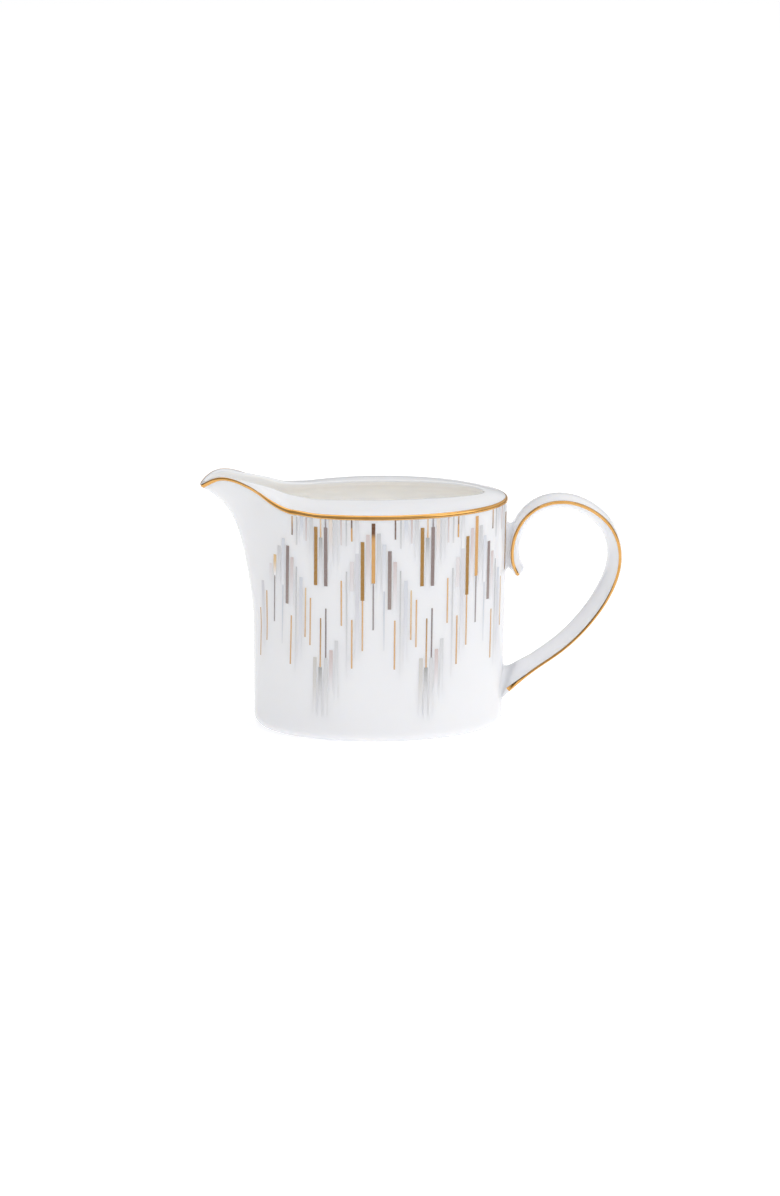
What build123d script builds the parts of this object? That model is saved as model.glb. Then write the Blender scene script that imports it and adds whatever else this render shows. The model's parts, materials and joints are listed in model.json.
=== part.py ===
from build123d import *
import os
from math import atan2, cos, exp, hypot, pi, radians, sin, sqrt

# A porcelain cream jug, in millimetres, +Z up and standing on Z = 0.
# The body is an oval slip casting with a pulled spout towards -X and a strap handle towards +X.
# The origin is under the middle of the whole jug, halfway between the spout tip and the handle.

# --- Driving dimensions ---------------------------------------------------------------------------

RIM_LENGTH = 84.0  # oval at the shoulder edge, where the gilt band runs
RIM_WIDTH = 49.0
FOOT_LENGTH = 82.6  # oval that the straight walls would reach at the table
FOOT_WIDTH = 48.2
RIM_HEIGHT = 77.6
SHOULDER_RISE = 2.5  # shoulder above its own edge
SHOULDER_POWER = 8  # high power: flat on top and rounded over at the edge

SPOUT_START = 36.0  # height at which the wall begins to lean out under the spout
SPOUT_TIP_HEIGHT = 82.4
SPOUT_REACH = 59.4  # spout tip from the oval's axis
SPOUT_LEAN = 8.0  # share of the reach from the long gentle lean
LEAN_POWER = 1.5
BEAK_POWER = 8  # the rest of the reach comes in one quick curl at the top
OVERRUN = 1.5  # the walls go on out past the tip, up to where the lip cuts them off
OVERRUN_SHARE = 0.12
NOSE = 0.65  # share of the spout's stand in its narrow nose; the rest is in its wide flanks
NOSE_ANGLE = radians(15.5)
FLANK_ANGLE = radians(20)
LOW_SPREAD = 0.8  # the spout is this much wider in angle where it starts
LIP_START = 30.1  # distance from the axis at which the lip leaves the rim
LIP_RISE = 8.8  # top of the lip above the rim
LIP_CREST = 0.743  # share of the lip's length at which it is highest
LIP_POWER = 0.87  # below 1: the lip's line is steeper where it leaves the rim
LIP_DIP = 4.0  # tip of the spout below the top of the lip
SADDLE_RISE = 2.25  # extra height of the shoulder along both sides of the channel
SADDLE_START = 21.0  # distances from the axis at which it starts and ends, and over what lengths
SADDLE_LEAD_IN = 15.6
SADDLE_END = 39.4
SADDLE_LEAD_OUT = 8.9
LIP_NARROW = 4.6  # half width of the lip, LIP_BACK behind the tip
LIP_BACK = 1.4
LIP_WIDEN = 13.0  # and how much more it is SPOUT_FLARE further back
SPOUT_FLARE = 24.0
LIP_BLEND = 14.0  # over this length the shoulder's dome gives way to the lip

WALL = 2.8
FLOOR = 5.0
FOOT_ROUND = 4.0
FOOT_RING_WIDTH = 3.2
FOOT_RECESS = 1.4
FOOT_RING_TAPER = 35  # degrees that the ring's inner side leans
MOUTH_LENGTH = 65.2
MOUTH_WIDTH = 19.8
LIP_WALL = 2.2
THROAT_HEIGHT = 72.0  # the hollow begins to close in to the mouth here
MOUTH_HEIGHT = 81.5
WALL_SPREAD = 0.9  # the hollow's spout is this much narrower in angle than the outside
CHANNEL_SPREAD = 1.8

HANDLE_REACH = 80.4  # outermost point of the handle from the oval's axis
STRAP_CROWN = 1.1  # outer face above the strap's edges
SLIP = 0.6  # luting slip at the lower joint
ROOT_TOP = 35.0  # the lower joint lies below this height
PAD_WIDTH = 8.6
PAD_HEIGHT = 18.0
PAD_MIDDLE = 60.5
PAD_START = 39.0  # from the oval's axis, inside the wall
PAD_DEPTH = 4.2

GILT = 0.1  # thickness of the burnished gold on the rim
GILT_BAND = 1.8
LINE_GILT = 0.18  # and of the gold beads along the strap's edges
GILT_LINE = 0.9
PRINT = 0.06  # thickness of the fired print
PRINT_TOP = 76.5
STAND_OFF = 0.01  # keeps the flat strokes clear of the curved wall
BAR = 1.25
LINE = 0.45
COLUMN_PITCH = 1.77
FRONT_COLUMN = 13.2  # the print's column that falls on the middle of the front
FIRST_COLUMN = -13
LAST_COLUMN = 40
LAST_LOW_COLUMN = 38  # lower down, where the strap's root takes up the wall
REPEAT = 20  # columns in one repeat of the zigzag
REPEATS = (-1, 0, 1, 2)
TOWARDS_SPOUT = 0.0013  # the print is drawn in a little towards the spout
SHORTEST_BAR = 6.6
SHORTEST_LINE = 2.0
TRIM_COLUMN = -5  # towards the spout from here the print's top edge steps down
TRIM_DROP = 0.9
TRIM_SLOPE = 3.3

BODY_X = (SPOUT_REACH - HANDLE_REACH) / 2  # puts the overall length's middle on the origin

# --- Shape of the casting -------------------------------------------------------------------------

OUTLINE_POINTS = 36
OUTLINE_CROWDING = 0.5  # crowds the outline's points towards the spout
FOOT_STEPS = 4  # sections round the foot's edge
WALL_LEVELS = (10, 22, SPOUT_START, 46, 56, 65, 72, 77, 80)
LIP_LEVELS = (SPOUT_TIP_HEIGHT, 85, 89)
ROOF_GRID = 2  # spacing of the shoulder's surface points
ROOF_ENDS = (-64, 46)  # and how far they reach, from the oval's axis
ROOF_SIDE = 28
ABOVE_ROOF = 20


def smoothstep(share):
    share = min(max(share, 0.0), 1.0)
    return share * share * (3 - 2 * share)


def half_axes(z):
    """Half length and half width of the plain oval at a height, on the straight tapered walls."""
    share = z / RIM_HEIGHT
    half_length = (FOOT_LENGTH + (RIM_LENGTH - FOOT_LENGTH) * share) / 2
    half_width = (FOOT_WIDTH + (RIM_WIDTH - FOOT_WIDTH) * share) / 2
    return half_length, half_width


def spout_stand(z):
    """How far the keel of the spout stands out beyond the oval's end at a height."""
    share = (z - SPOUT_START) / (SPOUT_TIP_HEIGHT - SPOUT_START)
    full = SPOUT_REACH - half_axes(SPOUT_TIP_HEIGHT)[0]
    if share <= 0:
        return 0.0
    if share >= 1:
        return full + OVERRUN * smoothstep((share - 1) / OVERRUN_SHARE)
    return SPOUT_LEAN * share**LEAN_POWER + (full - SPOUT_LEAN) * share**BEAK_POWER


def spout_share(angle, z, spread=1.0):
    """Share of the spout's stand at an angle round the oval: 1 on the keel, fading to both sides."""
    low = max(0.0, 1 - (z - SPOUT_START) / (SPOUT_TIP_HEIGHT - SPOUT_START))
    off_keel = abs(angle - pi) / (spread * (1 + LOW_SPREAD * low))
    nose = exp(-((off_keel / NOSE_ANGLE) ** 4))
    flank = 1 / (1 + (off_keel / FLANK_ANGLE) ** 2)
    return NOSE * nose + (1 - NOSE) * flank


def outline(half_length, half_width, stand, z, spread=1.0):
    """Closed outline in plan: an oval whose -X end is pulled out into the spout."""
    points = []
    for step in range(OUTLINE_POINTS):
        turn = 2 * pi * step / OUTLINE_POINTS
        angle = turn + OUTLINE_CROWDING * sin(turn)
        pull = stand * spout_share(angle, z, spread)
        points.append((half_length * cos(angle) - pull, half_width * sin(angle)))
    return points


def level(z):
    """Horizontal plane at a height, centred on the oval's axis."""
    return Plane(origin=(BODY_X, 0, z))


def lip_height(x):
    """Height of the shoulder edge and spout lip at a distance x from the oval's axis."""
    share = (-x - LIP_START) / (SPOUT_REACH - LIP_START)
    dip = max(0.0, (share - LIP_CREST) / (1 - LIP_CREST)) ** 2
    return RIM_HEIGHT + LIP_RISE * smoothstep(share / LIP_CREST) ** LIP_POWER - LIP_DIP * dip


def saddle(x, y):
    """Extra height of the shoulder where it narrows along both sides of the spout's channel."""
    from_tip = max(x + SPOUT_REACH - LIP_BACK, 0)
    half_width = LIP_NARROW + LIP_WIDEN * (from_tip / SPOUT_FLARE) ** 2
    across = (1 - min(abs(y) / half_width, 1) ** 4) ** 2
    lead_in = smoothstep((-x - SADDLE_START) / SADDLE_LEAD_IN)
    lead_out = 1 - smoothstep((-x - SADDLE_END) / SADDLE_LEAD_OUT)
    return SADDLE_RISE * lead_in * lead_out * across


def roof_height(x, y):
    """Height of the shoulder's surface: the lip line, domed up towards the mouth."""
    half_length, half_width = half_axes(RIM_HEIGHT)
    edge = hypot(x / half_length, y / half_width) ** SHOULDER_POWER
    dome = (1 - edge) / (1 + edge / 2)
    if dome < 0:
        dome *= smoothstep((x + half_length) / LIP_BLEND)
    return lip_height(x) + SHOULDER_RISE * dome + saddle(x, y)


def foot_levels():
    """Heights and insets of the rounded lower edge, from the table up to the straight wall."""
    turns = [pi / 2 * step / FOOT_STEPS for step in range(FOOT_STEPS + 1)]
    return [(FOOT_ROUND * (1 - cos(turn)), FOOT_ROUND * (1 - sin(turn))) for turn in turns]


def section(z, half_length, half_width, stand, spread=1.0):
    """One closed outline on its own level, as a section of a loft."""
    with BuildSketch(level(z)) as face:
        with BuildLine():
            Spline(*outline(half_length, half_width, stand, z, spread), periodic=True)
        make_face()
    return face.sketch


def casting_section(z, grow, inset=0.0):
    """Section of the body's outer shape at a height."""
    half_length, half_width = (axis + grow - inset for axis in half_axes(z))
    return section(z, half_length, half_width, spout_stand(z))


def blank(grow):
    """The body's outer walls carried up past the lip, before its top is cut to the shoulder."""
    foot = [casting_section(z, grow, inset) for z, inset in foot_levels()]
    wall = [casting_section(z, grow) for z in WALL_LEVELS + LIP_LEVELS]
    with BuildPart() as solid:
        loft(sections=foot + wall)
    return solid.part


def casting(grow):
    """The body's outer shape with no hollow, grown by a small amount for the layers on its wall."""
    with BuildPart() as solid:
        add(blank(grow))
        extrude(roof(grow), amount=ABOVE_ROOF, dir=(0, 0, 1), mode=Mode.SUBTRACT)
    return solid.part


def roof(grow):
    """The shoulder's surface as a sheet that reaches past the casting on every side."""
    columns = range(ROOF_ENDS[0], ROOF_ENDS[1] + 1, ROOF_GRID)
    rows = range(-ROOF_SIDE, ROOF_SIDE + 1, ROOF_GRID)
    grid = [[Vector(BODY_X + x, y, roof_height(x, y) + grow) for x in columns] for y in rows]
    return Face.make_surface_from_array_of_points(grid)


# --- Body -----------------------------------------------------------------------------------------


def wall_section(z, inset=0.0):
    """Section of the hollow where it follows the wall, drawn in further over the rounded floor."""
    half_length, half_width = (axis - WALL - inset for axis in half_axes(z))
    return section(z, half_length, half_width, spout_stand(z), WALL_SPREAD)


def throat_section(z):
    """Section of the hollow where it closes in under the shoulder to the mouth and the channel."""
    share = smoothstep((z - THROAT_HEIGHT) / (MOUTH_HEIGHT - THROAT_HEIGHT))
    wall_length, wall_width = (axis - WALL for axis in half_axes(z))
    half_length = wall_length + (MOUTH_LENGTH / 2 - wall_length) * share
    half_width = wall_width + (MOUTH_WIDTH / 2 - wall_width) * share
    keel = half_axes(z)[0] + spout_stand(z) - WALL - (LIP_WALL - WALL) * share
    spread = WALL_SPREAD + (CHANNEL_SPREAD - WALL_SPREAD) * share
    return section(z, half_length, half_width, keel - half_length, spread)


floor_rounding = ((0, 6.0), (0.9, 2.9), (2.6, 1.0), (6.0, 0.0))
floor_sections = [wall_section(FLOOR + rise, inset) for rise, inset in floor_rounding]
wall_sections = [wall_section(z) for z in (22, SPOUT_START, 46, 56, 65, THROAT_HEIGHT)]
throat_sections = [throat_section(z) for z in (75, 78, MOUTH_HEIGHT, 84, 89)]

with BuildPart() as hollow:
    loft(sections=floor_sections + wall_sections + throat_sections)

solid_body = casting(0)

with BuildPart() as jug_body:
    add(solid_body)
    add(hollow.part, mode=Mode.SUBTRACT)
    ring_inset = FOOT_ROUND + FOOT_RING_WIDTH
    with BuildSketch(level(0)):
        Ellipse(FOOT_LENGTH / 2 - ring_inset, FOOT_WIDTH / 2 - ring_inset)
    extrude(amount=FOOT_RECESS, taper=FOOT_RING_TAPER, mode=Mode.SUBTRACT)

# --- Handle ---------------------------------------------------------------------------------------

# Line of the strap's edges from the scroll's end, up, round and down to the root, as (x, z) from the
# oval's axis.
STRAP_LINE = [
    (45.6, 50.8),
    (43.6, 55.0),
    (43.1, 60.2),
    (45.6, 69.0),
    (51.6, 74.9),
    (60.0, 76.8),
    (69.2, 74.0),
    (76.6, 67.0),
    (79.3, 58.0),
    (77.3, 47.2),
    (70.4, 35.5),
    (60.6, 25.4),
    (50.6, 18.2),
    (40.6, 9.6),
]

with BuildLine(Plane(origin=(BODY_X, 0, 0), x_dir=(1, 0, 0), z_dir=(0, -1, 0))) as strap_path:
    Spline(*STRAP_LINE)


# Share of the way along the line, width of the strap and depth of its belly inside the line.
STRAP_STATIONS = [
    (0.0, 10.0, 3.1),
    (0.1, 11.0, 3.1),
    (0.3, 11.4, 3.5),
    (0.62, 11.4, 4.1),
    (0.88, 11.4, 3.6),
    (1.0, 12.2, 6.2),
]

strap_wire = strap_path.wires()[0]


def station(share):
    """Plane across the strap, with its x along the strap's width and its y to the outer face."""
    return Plane(origin=strap_wire @ share, x_dir=(0, 1, 0), z_dir=strap_wire % share)


def strap_face(share, width, belly):
    """Lens-shaped section: a low crown on the outer face and a deeper belly inside the loop."""
    with BuildSketch(station(share)) as face:
        with BuildLine():
            ThreePointArc((-width / 2, 0), (0, STRAP_CROWN), (width / 2, 0))
            ThreePointArc((width / 2, 0), (0, -belly), (-width / 2, 0))
        make_face()
    return face.sketch


def arc_height(sagitta, half_chord, x):
    """Height of an arc over its chord, at a distance x from the chord's middle."""
    radius = (half_chord**2 + sagitta**2) / (2 * sagitta)
    return sqrt(radius**2 - x**2) - (radius - sagitta)


def gilt_face(share, width, belly, side):
    """Wedge over one edge of the strap, which the strap itself then hollows to a thin line."""
    tip = width / 2 + LINE_GILT
    back = width / 2 - GILT_LINE
    crown_side = arc_height(STRAP_CROWN, width / 2, back) + LINE_GILT
    belly_side = -arc_height(belly, width / 2, back) - LINE_GILT
    with BuildSketch(station(share)) as face:
        with BuildLine():
            Polyline(
                (side * tip, 0),
                (side * back, crown_side),
                (side * back, belly_side),
                close=True,
            )
        make_face()
    return face.sketch


with BuildPart() as strap:
    sweep(
        sections=[strap_face(*place) for place in STRAP_STATIONS],
        path=strap_wire,
        multisection=True,
    )

with BuildPart() as slip_coat_low:
    add(casting(SLIP))
    split(bisect_by=Plane(origin=(0, 0, ROOT_TOP)), keep=Keep.BOTTOM)
slip_coat = slip_coat_low.part

with BuildPart() as handle:
    add(strap.part)
    add(slip_coat, mode=Mode.SUBTRACT)

with BuildPart() as handle_lower_joint:
    add(strap.part)
    add(slip_coat, mode=Mode.INTERSECT)
    add(solid_body, mode=Mode.SUBTRACT)

with BuildPart() as handle_upper_joint:
    pad_centre = (BODY_X + PAD_START, 0, PAD_MIDDLE)
    with BuildSketch(Plane(origin=pad_centre, x_dir=(0, 1, 0), z_dir=(1, 0, 0))):
        Ellipse(PAD_WIDTH / 2, PAD_HEIGHT / 2)
    extrude(amount=PAD_DEPTH)
    add(solid_body, mode=Mode.SUBTRACT)
    add(handle.part, mode=Mode.SUBTRACT)

gilt_lines = {}
for name, side in (("gilt_handle_line_front", -1), ("gilt_handle_line_back", 1)):
    with BuildPart() as gilt_line:
        sweep(
            sections=[gilt_face(*place, side) for place in STRAP_STATIONS],
            path=strap_wire,
            multisection=True,
        )
        add(strap.part, mode=Mode.SUBTRACT)
        add(slip_coat, mode=Mode.SUBTRACT)
    gilt_lines[name] = gilt_line.part

# --- Gilding and print on the body ----------------------------------------------------------------

with BuildPart() as gilt_rim_band:
    add(casting(GILT))
    add(solid_body, mode=Mode.SUBTRACT)
    add(blank(-GILT_BAND / 2), mode=Mode.SUBTRACT)
    with BuildSketch(Plane(origin=(BODY_X, ROOF_SIDE, 0), x_dir=(1, 0, 0), z_dir=(0, -1, 0))):
        with BuildLine():
            below_lip = [(x, lip_height(x) - GILT_BAND / 2) for x in range(-62, 47, 3)]
            lip_edge = Spline(*below_lip)
            Polyline(lip_edge @ 1, (46, 0), (-62, 0), lip_edge @ 0)
        make_face()
    extrude(amount=2 * ROOF_SIDE, mode=Mode.SUBTRACT)

# Strokes of one repeat, as (column, bottom, top) under the colour that prints them.
BARS = {
    "print_gold_bars": [(0, 53.9, 73.7), (9, 49.4, 69.3)],
    "print_copper_bars": [(11, 55.3, 75.6)],
    "print_taupe_bars": [(2, 53.8, 73.7), (14, 46.4, 66.2)],
    "print_grey_bars": [(0, 9.4, 29.3), (1, 53.0, 70.2), (1, 9.0, 26.0), (2, 9.0, 29.3)],
    "print_pale_bars": [
        (3, 62.5, PRINT_TOP),
        (3, 18.6, 32.1),
        (4, 60.9, PRINT_TOP),
        (4, 15.2, 35.5),
        (7, 52.5, 62.6),
        (8, 29.2, 65.4),
        (10, 52.5, 71.8),
        (12, 52.6, 72.2),
        (13, 52.6, 68.5),
        (15, 45.9, 62.5),
        (17, 27.4, 56.1),
        (17, 69.6, PRINT_TOP),
        (19, 63.0, PRINT_TOP),
    ],
}
LINES = {
    "print_gold_lines": [
        (1, 70.2, PRINT_TOP),
        (5, 40.6, 56.0),
        (7, 26.1, 42.8),
        (7, 69.4, 73.9),
        (9, 32.2, 49.4),
        (15, 25.8, 42.6),
        (18, 35.8, 52.7),
        (19, 33.2, 49.4),
    ],
    "print_dark_lines": [
        (1, 26.0, 42.8),
        (2, 29.3, 46.2),
        (2, 73.7, PRINT_TOP),
        (7, 73.9, PRINT_TOP),
        (11, 39.4, 55.3),
        (15, 70.1, PRINT_TOP),
    ],
    "print_pale_lines": [
        (5, 68.0, PRINT_TOP),
        (6, 67.7, PRINT_TOP),
        (6, 22.0, 59.2),
        (13, 32.3, 52.6),
        (16, 66.9, PRINT_TOP),
        (16, 22.3, 59.5),
        (18, 68.6, PRINT_TOP),
    ],
}


def column_angle(column):
    """Angle round the oval of a print column, measured along the wall from the front's middle."""
    half_length, half_width = half_axes(RIM_HEIGHT / 2)
    steps = 60
    along = (column - FRONT_COLUMN) * COLUMN_PITCH
    stride = (along + TOWARDS_SPOUT * min(along, 0) ** 2) / steps
    angle = -pi / 2
    for _ in range(steps):
        angle += stride / hypot(half_length * sin(angle), half_width * cos(angle))
    return angle


def spout_trim(column):
    """Highest printed point of a column, where the print is cut back under the spout."""
    past = TRIM_COLUMN - column
    return PRINT_TOP if past <= 0 else PRINT_TOP - TRIM_DROP - TRIM_SLOPE * past


def wall_point(angle, z, lift=0.0):
    """Point on the body's wall, or just off it along the wall's own normal in plan."""
    half_length, half_width = half_axes(z)
    pull = spout_stand(z) * spout_share(angle % (2 * pi), z)
    normal_x, normal_y = cos(angle) / half_length, sin(angle) / half_width
    scale = lift / hypot(normal_x, normal_y)
    x = half_length * cos(angle) - pull + normal_x * scale
    return x, half_width * sin(angle) + normal_y * scale


def stroke_levels(column, bottom, top):
    """Heights at which a stroke is bent to the wall: many under the spout, else only its ends."""
    count = 2 if column >= 0 else 7
    return [bottom + (top - bottom) * step / (count - 1) for step in range(count)]


def stroke_solid(column, bottom, top, width, side):
    """One printed stroke as a thin slab on the wall, on the front (-1) or the back (1)."""
    angle = column_angle(column)
    levels = stroke_levels(column, bottom, top)
    origin_x, origin_y = wall_point(angle, levels[0])
    tilt = atan2(origin_y / half_axes(0)[1] ** 2, origin_x / half_axes(0)[0] ** 2)
    outward = (cos(tilt), -side * sin(tilt), 0)
    edge = []
    for z in levels:
        x, y = wall_point(angle, z)
        edge.append(((x - origin_x) * outward[0] + (y - origin_y) * sin(tilt) + STAND_OFF, z))
    skin = [(out + PRINT, z) for out, z in reversed(edge)]
    face_plane = Plane(
        origin=(BODY_X + origin_x, -side * origin_y, 0),
        x_dir=outward,
        z_dir=(outward[1], -outward[0], 0),
    )
    with BuildSketch(face_plane) as profile:
        with BuildLine():
            Polyline(*edge, *skin, close=True)
        make_face()
    return extrude(profile.sketch, amount=width / 2, both=True, mode=Mode.PRIVATE)


def stroke_solids(strokes, width, shortest):
    """Every stroke of one colour, over all repeats and both sides of the jug."""
    solids = []
    for column, bottom, top in strokes:
        for repeat in REPEATS:
            real_column = column + REPEAT * repeat
            real_top = min(top, spout_trim(real_column))
            last_column = LAST_COLUMN if bottom > ROOT_TOP else LAST_LOW_COLUMN
            if FIRST_COLUMN <= real_column <= last_column and real_top - bottom > shortest:
                for side in (-1, 1):
                    solids.append(stroke_solid(real_column, bottom, real_top, width, side))
    return solids


prints = {}
for group, width, shortest in ((BARS, BAR, SHORTEST_BAR), (LINES, LINE, SHORTEST_LINE)):
    for name, strokes in group.items():
        with BuildPart() as print_colour:
            add(stroke_solids(strokes, width, shortest))
        prints[name] = print_colour.part

# --- Files ----------------------------------------------------------------------------------------

pieces = {
    "jug_body": jug_body.part,
    "handle": handle.part,
    "handle_upper_joint": handle_upper_joint.part,
    "handle_lower_joint": handle_lower_joint.part,
    "gilt_rim_band": gilt_rim_band.part,
    **gilt_lines,
    **prints,
}
os.makedirs("parts", exist_ok=True)
for name, piece in pieces.items():
    piece.label = name
    export_step(piece, f"parts/{name}.step")
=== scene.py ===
import json
from math import atan2, ceil, cos, exp, hypot, pi, radians, sin, sqrt

import bpy
import numpy as np
from mathutils import Matrix, Vector


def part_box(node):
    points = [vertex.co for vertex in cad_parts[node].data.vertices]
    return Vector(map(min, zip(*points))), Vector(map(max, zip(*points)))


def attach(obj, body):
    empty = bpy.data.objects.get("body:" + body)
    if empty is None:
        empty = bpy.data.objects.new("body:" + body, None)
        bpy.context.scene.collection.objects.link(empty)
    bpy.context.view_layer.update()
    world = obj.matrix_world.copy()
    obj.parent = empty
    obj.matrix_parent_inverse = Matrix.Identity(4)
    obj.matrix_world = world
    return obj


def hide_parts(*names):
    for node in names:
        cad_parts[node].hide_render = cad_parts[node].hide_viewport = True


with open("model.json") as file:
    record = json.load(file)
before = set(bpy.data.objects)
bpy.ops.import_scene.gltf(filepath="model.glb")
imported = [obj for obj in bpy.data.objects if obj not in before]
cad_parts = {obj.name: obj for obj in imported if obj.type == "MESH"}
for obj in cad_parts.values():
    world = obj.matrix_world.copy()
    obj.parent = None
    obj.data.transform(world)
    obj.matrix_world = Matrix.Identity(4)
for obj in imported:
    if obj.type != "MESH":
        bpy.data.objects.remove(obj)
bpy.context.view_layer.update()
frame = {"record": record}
scene = bpy.context.scene

# A porcelain cream jug. Shapes are worked out in millimetres from the oval's axis, with +X towards
# the handle and -X towards the spout, and are turned into metres in the shared frame at the end.

MM = 0.001
BODY_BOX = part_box("jug_body")
RIM_HALF_LENGTH = 42.0  # oval at the shoulder's edge, where the gilt band runs
RIM_HALF_WIDTH = 24.5
FOOT_HALF_LENGTH = 41.3  # oval that the straight walls would reach at the table
FOOT_HALF_WIDTH = 24.1
RIM_HEIGHT = 77.6
SHOULDER_RISE = 2.5  # shoulder above its own edge
SHOULDER_POWER = 8  # high power: flat on top and rounded over at the edge

SPOUT_START = 36.0  # height at which the wall begins to lean out under the spout
SPOUT_TIP_HEIGHT = 82.4
SPOUT_REACH = 59.4  # spout tip from the oval's axis
BODY_X = round(BODY_BOX[0].x / MM + SPOUT_REACH, 1)
SPOUT_LEAN = 8.0  # share of the reach from the long gentle lean
LEAN_POWER = 1.5
BEAK_POWER = 8  # the rest of the reach comes in one quick curl at the top
OVERRUN = 1.5  # the walls go on out past the tip, up to where the lip cuts them off
OVERRUN_SHARE = 0.12
NOSE = 0.65  # share of the spout's stand in its narrow nose; the rest is in its wide flanks
NOSE_ANGLE = radians(15.5)
FLANK_ANGLE = radians(20)
LOW_SPREAD = 0.8  # the spout is this much wider in angle where it starts
LIP_START = 30.1  # distance from the axis at which the lip leaves the rim
LIP_RISE = 8.8  # top of the lip above the rim
LIP_CREST = 0.743  # share of the lip's length at which it is highest
LIP_POWER = 0.87  # below 1: the lip's line is steeper where it leaves the rim
LIP_DIP = 4.0  # tip of the spout below the top of the lip
SADDLE_RISE = 2.25  # extra height of the shoulder along both sides of the channel
SADDLE_START = 21.0  # distances from the axis at which it starts and ends, and over what lengths
SADDLE_LEAD_IN = 15.6
SADDLE_END = 39.4
SADDLE_LEAD_OUT = 8.9
LIP_NARROW = 4.6  # half width of the lip, LIP_BACK behind the tip
LIP_BACK = 1.4
LIP_WIDEN = 13.0  # and how much more it is SPOUT_FLARE further back
SPOUT_FLARE = 24.0
LIP_BLEND = 14.0  # over this length the shoulder's dome gives way to the lip

WALL = 2.8
FLOOR = 5.0
FLOOR_ROUND = 6.0  # rounding between the hollow's floor and its wall
FOOT_ROUND = 4.0
FOOT_RING_WIDTH = 3.2
FOOT_RING_TAPER = 2.2  # how far the ring's inner side leans in up to the recess
FOOT_RECESS = 1.4
MOUTH_HALF_LENGTH = 32.6
MOUTH_HALF_WIDTH = 9.9
LIP_WALL = 2.2
THROAT_HEIGHT = 72.0  # the hollow begins to close in to the mouth here
MOUTH_HEIGHT = 81.5
WALL_SPREAD = 0.9  # the hollow's spout is this much narrower in angle than the outside
CHANNEL_SPREAD = 1.8

# --- Shape of the body --------------------------------------------------------


def smoothstep(share):
    share = min(max(share, 0.0), 1.0)
    return share * share * (3 - 2 * share)


def mix(start, end, share):
    return start + (end - start) * share


def half_axes(z):
    share = z / RIM_HEIGHT
    return mix(FOOT_HALF_LENGTH, RIM_HALF_LENGTH, share), mix(FOOT_HALF_WIDTH, RIM_HALF_WIDTH, share)


def spout_stand(z):
    """How far the spout's keel stands out beyond the oval's end at a height."""
    share = (z - SPOUT_START) / (SPOUT_TIP_HEIGHT - SPOUT_START)
    full = SPOUT_REACH - half_axes(SPOUT_TIP_HEIGHT)[0]
    if share <= 0:
        return 0.0
    if share >= 1:
        return full + OVERRUN * smoothstep((share - 1) / OVERRUN_SHARE)
    return SPOUT_LEAN * share**LEAN_POWER + (full - SPOUT_LEAN) * share**BEAK_POWER


def spout_share(angle, z, spread=1.0):
    """Share of the spout's stand at an angle round the oval: 1 on the keel, fading to both sides."""
    low = max(0.0, 1 - (z - SPOUT_START) / (SPOUT_TIP_HEIGHT - SPOUT_START))
    off_keel = abs(angle % (2 * pi) - pi) / (spread * (1 + LOW_SPREAD * low))
    nose = exp(-((off_keel / NOSE_ANGLE) ** 4))
    flank = 1 / (1 + (off_keel / FLANK_ANGLE) ** 2)
    return NOSE * nose + (1 - NOSE) * flank


def lip_height(x):
    """Height of the shoulder's edge and the spout's lip at a distance x from the oval's axis."""
    share = (-x - LIP_START) / (SPOUT_REACH - LIP_START)
    dip = max(0.0, (share - LIP_CREST) / (1 - LIP_CREST)) ** 2
    return RIM_HEIGHT + LIP_RISE * smoothstep(share / LIP_CREST) ** LIP_POWER - LIP_DIP * dip


def saddle(x, y):
    """Extra height of the shoulder where it narrows along both sides of the spout's channel."""
    from_tip = max(x + SPOUT_REACH - LIP_BACK, 0)
    half_width = LIP_NARROW + LIP_WIDEN * (from_tip / SPOUT_FLARE) ** 2
    across = (1 - min(abs(y) / half_width, 1) ** 4) ** 2
    lead_in = smoothstep((-x - SADDLE_START) / SADDLE_LEAD_IN)
    lead_out = 1 - smoothstep((-x - SADDLE_END) / SADDLE_LEAD_OUT)
    return SADDLE_RISE * lead_in * lead_out * across


def roof_height(x, y):
    """Height of the shoulder: the lip line, domed up towards the mouth."""
    edge = hypot(x / RIM_HALF_LENGTH, y / RIM_HALF_WIDTH) ** SHOULDER_POWER
    dome = (1 - edge) / (1 + edge / 2)
    if dome < 0:
        dome *= smoothstep((x + RIM_HALF_LENGTH) / LIP_BLEND)
    return lip_height(x) + SHOULDER_RISE * dome + saddle(x, y)


def wall_point(angle, z, inset=0.0):
    """Point on the outer wall at a height."""
    half_length, half_width = (axis - inset for axis in half_axes(z))
    x = half_length * cos(angle) - spout_stand(z) * spout_share(angle, z)
    return Vector((x, half_width * sin(angle), z))


def hollow_point(angle, z, inset=0.0):
    """Point on the hollow's wall at a height, from the floor up through the throat to the mouth."""
    share = smoothstep((z - THROAT_HEIGHT) / (MOUTH_HEIGHT - THROAT_HEIGHT))
    wall_length, wall_width = (axis - WALL - inset for axis in half_axes(z))
    half_length = mix(wall_length, MOUTH_HALF_LENGTH, share)
    half_width = mix(wall_width, MOUTH_HALF_WIDTH, share)
    keel = half_axes(z)[0] + spout_stand(z) - mix(WALL, LIP_WALL, share) - inset
    spread = mix(WALL_SPREAD, CHANNEL_SPREAD, share)
    pull = (keel - half_length) * spout_share(angle, z, spread)
    return Vector((half_length * cos(angle) - pull, half_width * sin(angle), z))


HALVINGS = 30
EDGE_HEIGHTS = (70.0, 92.0)  # every point of the shoulder's two edges lies between these


def halved(holds, low, high):
    """The furthest value between two at which a test still holds, found by halving."""
    for _ in range(HALVINGS):
        middle = (low + high) / 2
        if holds(middle):
            low = middle
        else:
            high = middle
    return low


def top_of(point_at, angle):
    """Where a wall that rises at an angle round the oval meets the shoulder's surface."""

    def under_roof(z):
        point = point_at(angle, z)
        return z < roof_height(point.x, point.y)

    return point_at(angle, halved(under_roof, *EDGE_HEIGHTS))


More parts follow.
